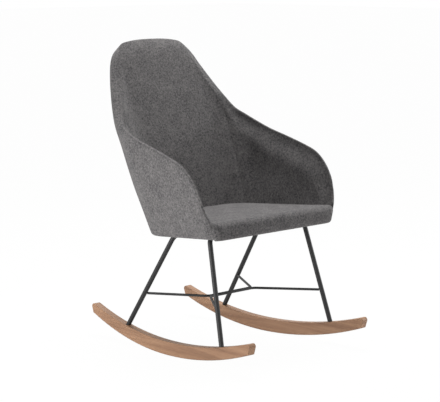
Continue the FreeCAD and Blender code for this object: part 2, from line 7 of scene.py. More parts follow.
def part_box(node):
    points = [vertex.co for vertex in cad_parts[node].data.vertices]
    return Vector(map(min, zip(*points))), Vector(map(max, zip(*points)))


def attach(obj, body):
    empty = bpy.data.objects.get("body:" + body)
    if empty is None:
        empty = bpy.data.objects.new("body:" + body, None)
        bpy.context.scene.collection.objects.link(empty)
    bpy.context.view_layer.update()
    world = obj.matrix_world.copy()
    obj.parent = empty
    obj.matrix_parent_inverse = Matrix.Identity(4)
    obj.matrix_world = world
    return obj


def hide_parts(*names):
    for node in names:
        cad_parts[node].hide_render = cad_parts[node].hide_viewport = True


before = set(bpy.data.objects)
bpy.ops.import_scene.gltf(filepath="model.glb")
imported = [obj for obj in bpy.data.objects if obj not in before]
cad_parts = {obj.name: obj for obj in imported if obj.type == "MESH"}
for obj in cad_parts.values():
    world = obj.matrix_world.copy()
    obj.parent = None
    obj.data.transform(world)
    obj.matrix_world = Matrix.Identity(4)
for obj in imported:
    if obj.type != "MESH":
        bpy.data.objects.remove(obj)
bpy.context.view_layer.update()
scene = bpy.context.scene
print("frame loaded")

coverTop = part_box("outer_cover")[1][2]

# camera, first of all

cameraSetup = {
    "azimuth": -44.38,     # degrees round the chair, 0 looks along +Y
    "elevation": 8.52,     # degrees above level
    "lens": 130.98,        # mm on a 36 mm sensor
    "distance": 5.3504,    # m from the aim point
    "aim": (0.1731, 0.1857, 0.4224),
}


def makeCamera(c):
    az, el = math.radians(c["azimuth"]), math.radians(c["elevation"])
    away = Vector((math.sin(az) * math.cos(el), -math.cos(az) * math.cos(el), math.sin(el)))
    data = bpy.data.cameras.new("camera")
    data.lens = c["lens"]
    data.sensor_width = 36.0
    data.clip_end = 60.0
    camera = bpy.data.objects.new("camera", data)
    scene.collection.objects.link(camera)
    camera.location = Vector(c["aim"]) + away * c["distance"]
    camera.rotation_euler = away.to_track_quat("Z", "Y").to_euler()
    scene.camera = camera
    return camera


makeCamera(cameraSetup)
print("camera placed")

# form of the upholstered tub, in metres

tub = {
    "top": coverTop,
    "rearAtTop": 0.364,      # rear face of the back at the very top
    "lean": 0.35,            # rearward run per metre of height
    "front": -0.236,         # front line at the arms
    "frontLow": -0.250,      # front line at the underside
    "lipLevel": 0.50,        # level where the two meet
    "nose": 0.034,           # plan radius of the front corners
    "base": 0.367,           # underside, above the origin
    "rake": 5.5,             # degrees the underside falls to the rear
    "crest": 0.624,          # highest part of the arm rim
    "edgeRoll": 0.013,       # rounding of the bottom edge
    "armThick": 0.034,
    "backThick": 0.053,
    "backSwell": 0.24,
    "rimThick": 0.009,       # padding left at the rim
    "hem": 0.023,            # cloth turned under
    "recess": 0.026,         # hollow under the seat, for the frame
    "armRoll": 0.004,        # outer face rounds over into the rim, on the arms
    "headRoll": 0.019,       # and on the head
    "elbowDrop": 0.084,      # elbow station below the crest
    "headStart": 0.66,       # level where the arm's edge begins to turn into the head's round one
    "headRun": 0.12,         # height over which it does
    "armTaper": 0.085,       # from the rim to full padding, on the arms
    "headTaper": 0.046,      # and on the head
    "seamFoot": 0.058,       # inner seam at the underside
    "seamLean": 0.420,       # its rearward run per metre of height
    "backStart": 0.05,       # padding of the back begins this far before the seam
    "backRun": 0.16,         # and is full after this run
    "creaseDepth": 0.005,    # padding is thinner along the inner seam
    "creaseWidth": 0.045,
    "seamSink": 0.003,       # cloth drawn in at the seam itself
    "seamSinkWidth": 0.005,
    "seamFadeFrom": 0.68,    # level where it begins to run out
    "seamFadeRun": 0.07,
    "seamReach": 0.2,        # and none of it this near the top
    "capDrop": 0.009,        # room for the rounded edge under the very top
}
# height, tilt, half width in front, half width behind, radius of the rear corners
stations = np.array([
    (tub["base"] - 0.018, 5.5, 0.259, 0.210, 0.126),
    (tub["base"] + 0.080, 3.3, 0.293, 0.229, 0.134),
    (tub["crest"] - tub["elbowDrop"], 0.0, 0.302, 0.267, 0.158),
    (tub["crest"] + 0.008, 0.0, 0.305, 0.280, 0.158),
    (tub["crest"] + 0.094, 0.0, 0.292, 0.281, 0.136),
    (tub["top"] - 0.104, 0.0, 0.219, 0.219, 0.066),
    (tub["top"] + 0.020, 0.0, 0.164, 0.164, 0.056),
])


# Cubic curve through the given values.
def smoothThrough(keys, values, at):
    keys = np.asarray(keys, float)
    values = np.asarray(values, float)
    at = min(max(at, keys[0]), keys[-1])
    n = min(max(int(np.searchsorted(keys, at)) - 1, 0), len(keys) - 2)
    step = keys[n + 1] - keys[n]
    slopes = []
    for m in (n, n + 1):
        a, b = max(m - 1, 0), min(m + 1, len(keys) - 1)
        slopes.append((values[b] - values[a]) / (keys[b] - keys[a]))
    t = (at - keys[n]) / step
    return ((2 * t**3 - 3 * t**2 + 1) * values[n] + (t**3 - 2 * t**2 + t) * step * slopes[0]
            + (3 * t**2 - 2 * t**3) * values[n + 1] + (t**3 - t**2) * step * slopes[1])


def backY(z):
    return tub["rearAtTop"] - tub["lean"] * (tub["top"] - z)


def tiltAt(q):
    elbow = tub["crest"] - tub["elbowDrop"]
    share = min(max((elbow - q) / (elbow - tub["base"]), 0), 1)
    return math.tan(math.radians(tub["rake"])) * share


# Sizes of the tub's plan at level q: its straight and round stretches from the middle of the back.
def planAt(q, inset=0.0):
    _, frontHalf, rearHalf, radius = smoothThrough(stations[:, 0], stations[:, 1:], q)
    low = min(max((tub["lipLevel"] - q) / (tub["lipLevel"] - tub["base"]), 0.0), 1.0)
    plan = {"frontHalf": frontHalf - inset, "rearHalf": rearHalf - inset, "far": backY(q) - inset,
            "near": tub["front"] + (tub["frontLow"] - tub["front"]) * low + inset,
            "radius": max(radius - inset, 0.008), "nose": max(tub["nose"] - inset, 0.006)}
    run = Vector((plan["frontHalf"] - plan["rearHalf"], plan["near"] - plan["far"]))
    side = run.length
    plan["run"] = run / side
    plan["rearTurn"] = math.acos(max(-1, min(1, plan["run"].x)))     # from the back line to the side line
    frontTurn = math.pi - plan["rearTurn"]
    plan["rearReach"] = plan["radius"] * math.tan(plan["rearTurn"] / 2)
    plan["frontReach"] = plan["nose"] * math.tan(frontTurn / 2)
    plan["parts"] = [plan["rearHalf"] - plan["rearReach"], plan["radius"] * plan["rearTurn"],
                     side - plan["rearReach"] - plan["frontReach"], plan["nose"] * frontTurn / 2]
    return plan


# Point of the tub's outer face at level q; s runs from 0, the middle of the back, to 1, halfway
# round the front corner, and on to 2, the middle of the front.
def shellPoint(s, q, inset=0.0):
    sign = -1 if s < 0 else 1
    s = abs(s)
    plan = planAt(q, inset)
    flat, corner, side, halfNose = plan["parts"]
    whole = sum(plan["parts"])
    frontRun = plan["frontHalf"] - plan["frontReach"]
    d = s * whole if s <= 1 else whole + (s - 1) * (halfNose + frontRun)
    if d <= flat:
        x, y = d, plan["far"]
    elif d <= flat + corner:
        a = (d - flat) / plan["radius"]
        x = flat + plan["radius"] * math.sin(a)
        y = plan["far"] - plan["radius"] * (1 - math.cos(a))
    elif d <= flat + corner + side:
        e = d - flat - corner + plan["rearReach"]
        x, y = plan["rearHalf"] + plan["run"].x * e, plan["far"] + plan["run"].y * e
    elif d <= whole + halfNose:
        a = plan["rearTurn"] + (d - flat - corner - side) / plan["nose"]
        x = frontRun + plan["nose"] * math.sin(a)
        y = plan["near"] + plan["nose"] * (1 + math.cos(a))
    else:
        x, y = frontRun - (d - whole - halfNose), plan["near"]
    return Vector((sign * x, y, q - tiltAt(q) * y))


# Where a falling function crosses zero.
def solve(test, low, high):
    for _ in range(40):
        middle = (low + high) / 2
        if test(middle) > 0:
            low = middle
        else:
            high = middle
    return (low + high) / 2


# rim of the arm in side view: run from the front line, height from the arm's crest
armRim = [(0.006, -0.179), (0.027, -0.118), (0.054, -0.066), (0.098, -0.022), (0.150, 0.0),
          (0.228, 0.023), (0.306, 0.044), (0.374, 0.072), (0.412, 0.093)]
# rim of the head: height from the top, distance in front of the rear face
headRim = [(-0.224, 0.079), (-0.186, 0.063), (-0.146, 0.048), (-0.104, 0.036), (-0.070, 0.027)]
# outline of the top in front view: half width, height from the top
headTop = [(0.184, -0.050), (0.172, -0.034), (0.154, -0.0215), (0.128, -0.0115), (0.094, -0.005),
           (0.050, -0.001), (0.0, 0.0)]


# The rim as pairs (s, q), from the front corner to the middle of the top.
def rimDomain():
    sideView = [(tub["front"] + run, tub["crest"] + rise) for run, rise in armRim]
    sideView += [(backY(tub["top"] + z) - d, tub["top"] + z) for z, d in headRim]
    pairs = []
    for y, z in sideView:
        q = z
        for _ in range(6):
            q = z + tiltAt(q) * y
        pairs.append((solve(lambda s: shellPoint(s, q).y - y, 0.0, 1.0), q))
    for x, z in headTop:
        q = tub["top"] + z
        pairs.append((solve(lambda s: x - abs(shellPoint(s, q).x), 0.0, 0.45), q))
    return np.array(pairs)


# Even points along a smooth curve through the pairs.
def densify(pairs, count):
    steps = np.linspace(0, len(pairs) - 1, 600)
    curve = np.array([smoothThrough(np.arange(len(pairs)), pairs, t) for t in steps])
    for _ in range(24):
        curve[1:-1] = (curve[:-2] + 2 * curve[1:-1] + curve[2:]) / 4
    space = np.array([shellPoint(s, q) for s, q in curve])
    length = np.concatenate([[0], np.cumsum(np.linalg.norm(np.diff(space, axis=0), axis=1))])
    even = np.linspace(0, length[-1], count)
    return np.stack([np.interp(even, length, curve[:, 0]), np.interp(even, length, curve[:, 1])], 1)


columnsHalf = 110         # mesh columns from a front corner to the middle of the back
rimRight = densify(rimDomain(), columnsHalf + 1)          # s from 1 down to 0
rimPairs = np.concatenate([rimRight * [-1, 1], rimRight[::-1][1:]])
columns = len(rimPairs)
print("rim solved", columns)


# helpers for meshes

def makeObject(name, vertices, faces, smooth=True):
    mesh = bpy.data.meshes.new(name)
    mesh.from_pydata([tuple(v) for v in vertices], [], faces)
    mesh.validate()
    tidy = bmesh.new()
    tidy.from_mesh(mesh)
    bmesh.ops.recalc_face_normals(tidy, faces=tidy.faces)
    tidy.to_mesh(mesh)
    tidy.free()
    for face in mesh.polygons:
        face.use_smooth = smooth
    piece = bpy.data.objects.new(name, mesh)
    scene.collection.objects.link(piece)
    return piece


def applyModifiers(piece):
    bpy.context.view_layer.update()
    final = bpy.data.meshes.new_from_object(piece.evaluated_get(bpy.context.evaluated_depsgraph_get()))
    piece.modifiers.clear()
    piece.data = final


def subdivide(piece, levels):
    step = piece.modifiers.new("subdivide", "SUBSURF")
    step.levels = step.render_levels = levels
    applyModifiers(piece)


# Round cord along a path, laid out from the path's own turning.
def tubeAlong(name, path, radius, sides=10):
    path = [Vector(p) for p in path]
    rings = []
    normal = None
    for n, point in enumerate(path):
        ahead = path[min(n + 1, len(path) - 1)] - path[max(n - 1, 0)]
        ahead.normalize()
        if normal is None:
            normal = ahead.orthogonal().normalized()
        normal = (normal - ahead * normal.dot(ahead)).normalized()
        across = ahead.cross(normal)
        wide = radius(point) if callable(radius) else radius
        for k in range(sides):
            a = 2 * math.pi * k / sides
            rings.append(point + normal * wide * math.cos(a) + across * wide * math.sin(a))
    faces = []
    for n in range(len(path) - 1):
        for k in range(sides):
            a, b = n * sides + k, n * sides + (k + 1) % sides
            faces.append((a, b, b + sides, a + sides))
    faces.append(tuple(range(sides))[::-1])
    faces.append(tuple(range((len(path) - 1) * sides, len(path) * sides)))
    return makeObject(name, rings, faces)


# 0 to 1 with both ends gentle.
def ease(t):
    t = min(max(t, 0.0), 1.0)
    return t * t * (3 - 2 * t)


# the upholstered tub: outer face, rounded rim and inner face as one closed form

rows = 34                 # mesh rows from the bottom edge to the rim
capSteps = 6              # points across the rounded rim
baseLevel = tub["base"]


# 0 on the arms, 1 on the head, where the edge is a full round.
def headShare(level):
    return ease((level - tub["headStart"]) / tub["headRun"])


# Outer face: v runs from 0 at the bottom edge to 1 at the rim.
def columnPoint(k, v):
    sBottom = -1 + 2 * k / (columns - 1)
    sRim, qRim = rimPairs[k]
    qRim -= tub["capDrop"] * headShare(qRim)
    s = sBottom + (sRim - sBottom) * ease(v) * 0.35 + (sRim - sBottom) * v * 0.65
    q = baseLevel + (qRim - baseLevel) * v
    return s, q


# Points of the outer face and their outward normals, by column and row.
def outerGrid():
    spread = [0.5 - 0.5 * math.cos(math.pi * r / rows) for r in range(rows + 1)]
    spread = [0.72 * a + 0.28 * r / rows for r, a in enumerate(spread)]
    points = np.zeros((columns, rows + 1, 3))
    for k in range(columns):
        for r, v in enumerate(spread):
            s, q = columnPoint(k, v)
            points[k, r] = shellPoint(s, q)
    alongColumn = np.gradient(points, axis=1)
    alongRow = np.gradient(points, axis=0)
    normals = np.cross(alongColumn, alongRow)
    normals /= np.linalg.norm(normals, axis=2, keepdims=True) + 1e-12
    middle = np.array([0, -0.05, 0.6])
    flip = np.sign(((points - middle) * normals)[:, :, :2].sum(axis=2, keepdims=True))
    return points, normals * flip


# Side-view line of the seam between the back panel and the arm panels.
def seamY(z):
    return tub["seamFoot"] + (z - tub["base"]) * tub["seamLean"]


# Thickness of the padded wall at a distance from the rim.
def paddingAt(point, edge):
    level = point[2]
    share = (level - baseLevel) / (tub["top"] - baseLevel)
    back = tub["backThick"] * (1 + tub["backSwell"] * (1 - 2 * share))
    behind = point[1] - seamY(level)
    full = tub["armThick"] + (back - tub["armThick"]) * ease((behind + tub["backStart"]) / tub["backRun"])
    head = headShare(level)
    full -= tub["creaseDepth"] * math.exp(-(behind / tub["creaseWidth"]) ** 2) * (1 - head)
    start = tub["rimThick"] + tub["headRoll"] * head
    t = min(edge / (tub["armTaper"] * (1 - head) + tub["headTaper"] * head), 1.0)
    arm = t * t * (3 - 2 * t)
    roll = math.sqrt(max(0.0, 1 - (1 - t) ** 2))
    return start + (full - start) * (arm * (1 - head) + (0.35 * arm + 0.65 * roll) * head)


def buildTub():
    points, normals = outerGrid()
    steps = np.linalg.norm(np.diff(points, axis=1), axis=2)
    fromRim = np.zeros(points.shape[:2])
    fromRim[:, :-1] = np.cumsum(steps[:, ::-1], axis=1)[:, ::-1]
    inner = np.zeros_like(points)
    outer = points.copy()
    for k in range(columns):
        for r in range(rows + 1):
            edge = fromRim[k, r]
            inner[k, r] = points[k, r] - normals[k, r] * paddingAt(points[k, r], edge)
            height = points[k, r][2] - points[k, 0][2]
            turn = tub["armRoll"] + (tub["headRoll"] - tub["armRoll"]) * headShare(points[k, r][2])
            for radius, reach in ((tub["edgeRoll"], height), (turn, edge)):
                if reach < radius:
                    outer[k, r] -= normals[k, r] * (radius - math.sqrt(radius**2 - (radius - reach) ** 2))
    for _ in range(4):
        inner[1:-1, 1:-1] = (inner[1:-1, 1:-1] * 4 + inner[2:, 1:-1] + inner[:-2, 1:-1]
                             + inner[1:-1, 2:] + inner[1:-1, :-2]) / 8
    loops = []
    for k in range(columns):
        rim, rimIn = outer[k, -1], inner[k, -1]
        along = points[k, -1] - points[k, -2]
        along /= np.linalg.norm(along)
        middle, half = (rim + rimIn) / 2, (rim - rimIn) / 2
        high = np.linalg.norm(half) * (1 - 0.4 * headShare(rim[2]))
        cap = [middle + half * math.cos(a) + along * high * math.sin(a)
               for a in np.linspace(0, math.pi, capSteps)[1:-1]]
        heights = points[k, :, 2] - points[k, 0, 2]
        floorOf = [np.interp(tub["recess"], heights, inner[k, :, axis]) for axis in range(3)]
        inside = [p if h > tub["recess"] else np.array(floorOf) for p, h in zip(inner[k], heights)]
        hemLow = points[k, 0] - normals[k, 0] * tub["hem"]
        hemHigh = [np.interp(tub["recess"], heights, points[k, :, axis]) for axis in range(3)]
        hemHigh = np.array(hemHigh) - normals[k, 0] * tub["hem"]
        loops.append(list(outer[k]) + cap + inside[::-1] + [hemHigh, hemLow])
    size = len(loops[0])
    vertices = [v for loop in loops for v in loop]
    faces = []
    for k in range(columns - 1):
        for r in range(size):
            a, b = k * size + r, k * size + (r + 1) % size
            faces.append((a, b, b + size, a + size))
    for base in (0, (columns - 1) * size):
        for r in range(rows):
            a, b = base + r, base + r + 1
            c, d = base + size - 3 - r, base + size - 4 - r
            faces.append((a, b, d, c))
        faces.append(tuple(base + rows + n for n in range(capSteps)))
        faces.append((base, base + size - 3, base + size - 2, base + size - 1))
    piece = makeObject("tubShell", vertices, faces)
    inside = piece.vertex_groups.new(name="inside")
    innerRows = range(rows + capSteps, size - 2)
    inside.add([k * size + r for k in range(columns) for r in innerRows], 1.0, "REPLACE")
    addUv(piece, size)
    return piece, outer, inner


# Cloth coordinates in metres: round the plan, and up the outside and down the inside.
def addUv(piece, size):
    mesh = piece.data
    layer = mesh.uv_layers.new(name="cloth")
    across = np.zeros((columns, size))
    up = np.zeros((columns, size))
    for k in range(columns):
        for r in range(size):
            back = max(2 * rows + capSteps - 1 - r, 0)
            row = min(r, rows) if r < rows + capSteps // 2 else back
            s, q = columnPoint(k, row / rows)
            across[k, r] = s * sum(planAt(q)["parts"])
        coords = np.array([mesh.vertices[k * size + r].co for r in range(size)])
        steps = np.linalg.norm(np.diff(coords, axis=0), axis=1)
        up[k, 1:] = np.cumsum(steps)
        up[k] += rimPairs[k][1] - up[k, rows]
    for face in mesh.polygons:
        for n in face.loop_indices:
            k, r = divmod(mesh.loops[n].vertex_index, size)
            layer.data[n].uv = (across[k, r], up[k, r])


tubShell, outerPoints, innerPoints = buildTub()
subdivide(tubShell, 1)


# Draws the cloth in along the seam between back panel and arm panels.
def sewSeam(piece):
    group = piece.vertex_groups["inside"].index
    normals = [v.normal.copy() for v in piece.data.vertices]
    for vertex, normal in zip(piece.data.vertices, normals):
        inside = [g.weight for g in vertex.groups if g.group == group]
        if not inside or inside[0] < 0.9 or vertex.co.z > tub["top"] - tub["seamReach"]:
            continue
        off = vertex.co.y - seamY(vertex.co.z)
        fade = 1 - ease((vertex.co.z - tub["seamFadeFrom"]) / tub["seamFadeRun"])
        vertex.co -= normal * tub["seamSink"] * math.exp(-(off / tub["seamSinkWidth"]) ** 2) * fade


sewSeam(tubShell)
print("tub built", len(tubShell.data.vertices))


# seat pad: flush with the tub across the front, tucked in between the walls

seat = {
    "thick": 0.064,
    "middleY": -0.045,      # centre of the crown
    "frontRoll": 0.024,
    "bottomRoll": 0.011,
    "tuck": 0.022,          # sides hidden in the wall
    "tuckFrom": 0.985,      # behind this share of the way round, where the front corner is 1
    "tuckRun": 0.03,
    "crown": 0.007,
    "hollow": 0.027,        # space for the frame under the pad
    "swell": 0.006,         # most that the filling pushes a point out
    "pressure": 3.0,
    "frames": 18,
    "clothQuality": 6,
    "clothMass": 0.4,
    "clothTension": 20,
    "clothBending": 2,
    "freeAbove": 0.040,     # height where the cloth starts to be free to swell
    "freeRun": 0.020,
    "freeBehind": 0.06,     # the front edge stays in place, and the cloth is free from here back
}


# Outline of the pad at a height above the underside.
def padRing(above, inset, count=320):
    ring = []
    q = baseLevel + above
    for n in range(count):
        s = 2 - 4 * n / count                            # 2 .. -2, once round
        within = ease((seat["tuckFrom"] - abs(s)) / seat["tuckRun"])
        lifted = q + max(seat["hollow"] - above, 0) * within
        ring.append(shellPoint(s, lifted, inset + seat["tuck"] * within))
    return ring


def buildSeat():
    thick, roll, under = seat["thick"], seat["frontRoll"], seat["bottomRoll"]
    levels = [(seat["hollow"], tub["hem"] + 0.002), (0.0, tub["hem"]), (0.0, 0.017)]
    for a in np.linspace(0, math.pi / 2, 5):
        levels.append((under * (1 - math.cos(a)), under * (1 - math.sin(a))))
    levels += [(0.020, 0.0), (0.029, 0.0)]
    for a in np.linspace(0, math.pi / 2, 7):
        levels.append((thick - roll + roll * math.sin(a), roll * (1 - math.cos(a))))
    rings = [padRing(above, inset) for above, inset in levels]
    count = len(rings[0])
    last = rings[-1]
    middle = Vector((0, seat["middleY"], 0))
    tops = 22
    for n in range(1, tops):
        t = 1 - n / tops
        bulge = seat["crown"] * (1 - t * t)
        ring = []
        for p in last:
            x, y = middle.x + (p.x - middle.x) * t, middle.y + (p.y - middle.y) * t
            ring.append(Vector((x, y, baseLevel + thick + bulge - tiltAt(baseLevel + thick) * y)))
        rings.append(ring)
    vertices = [p for ring in rings for p in ring]
    faces = []
    for m in range(len(rings) - 1):
        for n in range(count):
            a, b = m * count + n, m * count + (n + 1) % count
            faces.append((a, b, b + count, a + count))
    centre = len(vertices)
    highest = baseLevel + thick + seat["crown"] - tiltAt(baseLevel + thick) * middle.y
    vertices.append(Vector((0, middle.y, highest)))
    vertices.append(Vector((0, middle.y, baseLevel + seat["hollow"] - tiltAt(baseLevel) * middle.y)))
    top = (len(rings) - 1) * count
    for n in range(count):
        faces.append((top + n, top + (n + 1) % count, centre))
        faces.append(((n + 1) % count, n, centre + 1))
    piece = makeObject("seatCushion", vertices, faces)
    held = piece.vertex_groups.new(name="held")
    for v in piece.data.vertices:
        above = v.co.z + tiltAt(baseLevel) * v.co.y - baseLevel
        behindFront = ease((v.co.y - tub["front"]) / seat["freeBehind"])
        free = ease((above - seat["freeAbove"]) / seat["freeRun"]) * behindFront
        held.add([v.index], 1 - 0.98 * free, "REPLACE")
    layer = piece.data.uv_layers.new(name="cloth")
    for loop in piece.data.loops:
        co = piece.data.vertices[loop.vertex_index].co
        layer.data[loop.index].uv = (co.x, co.y + co.z)
    return piece


# Fills the pad with pressure and keeps the swollen shape.
def puff(piece, facts):
    rest = [v.co.copy() for v in piece.data.vertices]
    cloth = piece.modifiers.new("filling", "CLOTH")
    cloth.settings.quality = facts["clothQuality"]
    cloth.settings.mass = facts["clothMass"]
    cloth.settings.tension_stiffness = facts["clothTension"]
    cloth.settings.bending_stiffness = facts["clothBending"]
    cloth.settings.use_pressure = True
    cloth.settings.uniform_pressure_force = facts["pressure"]
    cloth.settings.vertex_group_mass = "held"
    cloth.settings.effector_weights.gravity = 0
    cloth.collision_settings.use_collision = False
    for n in range(1, facts["frames"] + 1):
        scene.frame_set(n)
    applyModifiers(piece)
    for v, start in zip(piece.data.vertices, rest):
        move = v.co - start
        if move.length > facts["swell"]:
            v.co = start + move * (facts["swell"] / move.length)
    scene.frame_set(1)


seatCushion = buildSeat()
puff(seatCushion, seat)
print("seat pad built", len(seatCushion.data.vertices))


# sewn edges

trim = {
    "weltRadius": 0.0021,
    "seamRadius": 0.0009,
    "lift": 0.0002,           # cords stand this far off the cloth
    "seamLow": 0.412,         # levels where the inner seam starts and ends
    "seamHigh": 0.735,
    "seamSteps": 60,
    "seamJump": 0.03,         # a longer step than this has missed the cloth
}


# Fine welt round the edge of the tub, from one front corner to the other.
def rimWelt():
    path = []
    for k in range(columns):
        edge = Vector(outerPoints[k, -1])
        outward = (edge - Vector(innerPoints[k, -1])).normalized()
        path.append(edge + outward * trim["lift"])
    return tubeAlong("rimWelt", path, lambda p: trim["weltRadius"] * (1 - 0.6 * headShare(p.z)), 8)


# Ridge of the sewn seam between the back panel and one arm panel.
def innerSeam(sign):
    tree = BVHTree.FromPolygons([v.co for v in tubShell.data.vertices],
                                [tuple(f.vertices) for f in tubShell.data.polygons])
    path = []
    for z in np.linspace(trim["seamLow"], trim["seamHigh"], trim["seamSteps"]):
        start = Vector((0, seamY(z), z))
        spot, normal, _, _ = tree.ray_cast(start, Vector((sign, 0, 0)))
        if spot is not None and (not path or (spot - path[-1]).length < trim["seamJump"]):
            path.append(spot + normal * trim["lift"] * (1 if normal.x * sign < 0 else -1))
    return tubeAlong("innerSeam_" + ("left" if sign > 0 else "right"), path, trim["seamRadius"], 6)


welt = rimWelt()
seams = [innerSeam(1), innerSeam(-1)]
print("seams built")


# finishes

def newMaterial(name):
    material = bpy.data.materials.new(name)
    material.use_nodes = True
    tree = material.node_tree
    return material, tree.nodes, tree.links, tree.nodes["Principled BSDF"]


def addNode(nodeSet, kind, **settings):
    node = nodeSet.new(kind)
    for key, value in settings.items():
        if key in ("operation", "bands_direction", "feature", "uv_map"):
            setattr(node, key, value)
        else:
            node.inputs[key].default_value = value
    return node


# sRGB 0-255 to the linear value a socket takes.
def colour(r, g, b):
    linear = [c / 255 / 12.92 if c <= 10 else ((c / 255 + 0.055) / 1.055) ** 2.4 for c in (r, g, b)]
    return (*linear, 1.0)


fabric = {
    "dark": (60, 59, 61),
    "light": (134, 131, 130),
    "rampLow": 0.32,          # mix of threads that gives the dark colour
    "rampHigh": 0.52,         # and the light one
    "warpScale": (520, 170, 170),
    "weftScale": (170, 520, 520),
    "fleckScale": (170, 170, 170),
    "patchScale": (24, 24, 24),
    "warpShare": 0.20,
    "weftShare": 0.20,
    "fleckShare": 0.30,
    "patchShare": 0.10,
    "waveScale": 91.9118,     # threads of the weave
    "weaveBump": 0.35,
    "bumpDepth": 0.0006,
    "rough": 0.95,
    "specular": 0.15,
    "sheen": 0.12,
    "sheenRough": 0.5,
}


# Heathered plain weave. A lift above 1 lightens both thread colours, which paints a highlight on a copy
# of the same cloth.
def fabricMaterial(name, highlightLift=1.0, threads=True):
    material, n, link, shader = newMaterial(name)
    uv = addNode(n, "ShaderNodeUVMap", uv_map="cloth")
    place = n.new("ShaderNodeTexCoord")
    source = uv.outputs["UV"] if threads else place.outputs["Object"]

    def streaks(start, scale, detail):
        mapping = n.new("ShaderNodeMapping")
        mapping.inputs["Scale"].default_value = scale
        link.new(start, mapping.inputs["Vector"])
        noiseNode = addNode(n, "ShaderNodeTexNoise", Scale=1.0, Detail=detail, Roughness=0.6)
        link.new(mapping.outputs["Vector"], noiseNode.inputs["Vector"])
        return noiseNode.outputs["Fac"]

    warp = streaks(source, fabric["warpScale"], 2)
    weft = streaks(source, fabric["weftScale"], 2)
    fleck = streaks(place.outputs["Object"], fabric["fleckScale"], 3)
    patch = streaks(place.outputs["Object"], fabric["patchScale"], 3)
    shares = ((warp, "warpShare"), (weft, "weftShare"), (fleck, "fleckShare"), (patch, "patchShare"))
    total = None
    for fac, share in shares:
        part = addNode(n, "ShaderNodeMath", operation="MULTIPLY")
        link.new(fac, part.inputs[0])
        part.inputs[1].default_value = fabric[share]
        if total is None:
            total = part.outputs[0]
        else:
            add = addNode(n, "ShaderNodeMath", operation="ADD")
            link.new(total, add.inputs[0])
            link.new(part.outputs[0], add.inputs[1])
            total = add.outputs[0]
    ramp = n.new("ShaderNodeValToRGB")
    low, high = ramp.color_ramp.elements
    low.position, high.position = fabric["rampLow"], fabric["rampHigh"]
    # both thread colours are lifted for the painted-highlight copies of the cloth
    low.color = colour(*[c * highlightLift for c in fabric["dark"]])
    high.color = colour(*[c * highlightLift for c in fabric["light"]])
    link.new(total, ramp.inputs["Fac"])
    link.new(ramp.outputs["Color"], shader.inputs["Base Color"])
    height = None
    for direction in ("X", "Y"):
        wave = addNode(n, "ShaderNodeTexWave", bands_direction=direction, Scale=fabric["waveScale"],
                       Distortion=1.2, Detail=1.0)
        link.new(source, wave.inputs["Vector"])
        if height is None:
            height = wave.outputs["Fac"]
        else:
            both = addNode(n, "ShaderNodeMath", operation="MULTIPLY")
            link.new(height, both.inputs[0])
            link.new(wave.outputs["Fac"], both.inputs[1])
            height = both.outputs[0]
    lumpy = addNode(n, "ShaderNodeMath", operation="ADD")
    link.new(height, lumpy.inputs[0])
    link.new(fleck, lumpy.inputs[1])
    bump = addNode(n, "ShaderNodeBump", Strength=fabric["weaveBump"], Distance=fabric["bumpDepth"])
    link.new(lumpy.outputs[0], bump.inputs["Height"])
    link.new(bump.outputs["Normal"], shader.inputs["Normal"])
    shader.inputs["Roughness"].default_value = fabric["rough"]
    shader.inputs["Specular IOR Level"].default_value = fabric["specular"]
    shader.inputs["Sheen Weight"].default_value = fabric["sheen"]
    shader.inputs["Sheen Roughness"].default_value = fabric["sheenRough"]
    return material


# Coated or plated metal: fine orange peel and slightly uneven gloss.
def grainedMetal(name, tint, rough, metallic, grain, bumpDepth):
    material, n, link, shader = newMaterial(name)
    place = n.new("ShaderNodeTexCoord")
    peel = addNode(n, "ShaderNodeTexNoise", Scale=grain, Detail=3.0, Roughness=0.55)
    link.new(place.outputs["Object"], peel.inputs["Vector"])
    ramp = n.new("ShaderNodeValToRGB")
    ramp.color_ramp.elements[0].color = colour(*[c * 0.85 for c in tint])
    ramp.color_ramp.elements[1].color = colour(*[min(255, c * 1.15) for c in tint])
    link.new(peel.outputs["Fac"], ramp.inputs["Fac"])
    link.new(ramp.outputs["Color"], shader.inputs["Base Color"])
    gloss = addNode(n, "ShaderNodeMapRange", **{"To Min": rough - 0.07, "To Max": rough + 0.07})
    link.new(peel.outputs["Fac"], gloss.inputs["Value"])
    link.new(gloss.outputs["Result"], shader.inputs["Roughness"])
    bump = addNode(n, "ShaderNodeBump", Strength=0.2, Distance=bumpDepth)
    link.new(peel.outputs["Fac"], bump.inputs["Height"])
    link.new(bump.outputs["Normal"], shader.inputs["Normal"])
    shader.inputs["Metallic"].default_value = metallic
    return material


wood = {
    "pale": (168, 130, 100),
    "mid": (150, 112, 84),
    "dark": (128, 93, 67),
    "rampDark": 0.58,         # mix of grain that gives each colour
    "rampMid": 0.76,
    "rampPale": 1.0,
    "grainScale": (46, 2.4, 70),
    "poreFactor": 9,          # pores are this much finer than the grain
    "poreShare": 0.35,
    "broadShare": 0.25,
    "bump": 0.25,
    "bumpDepth": 0.0004,
    "rough": 0.52,
}


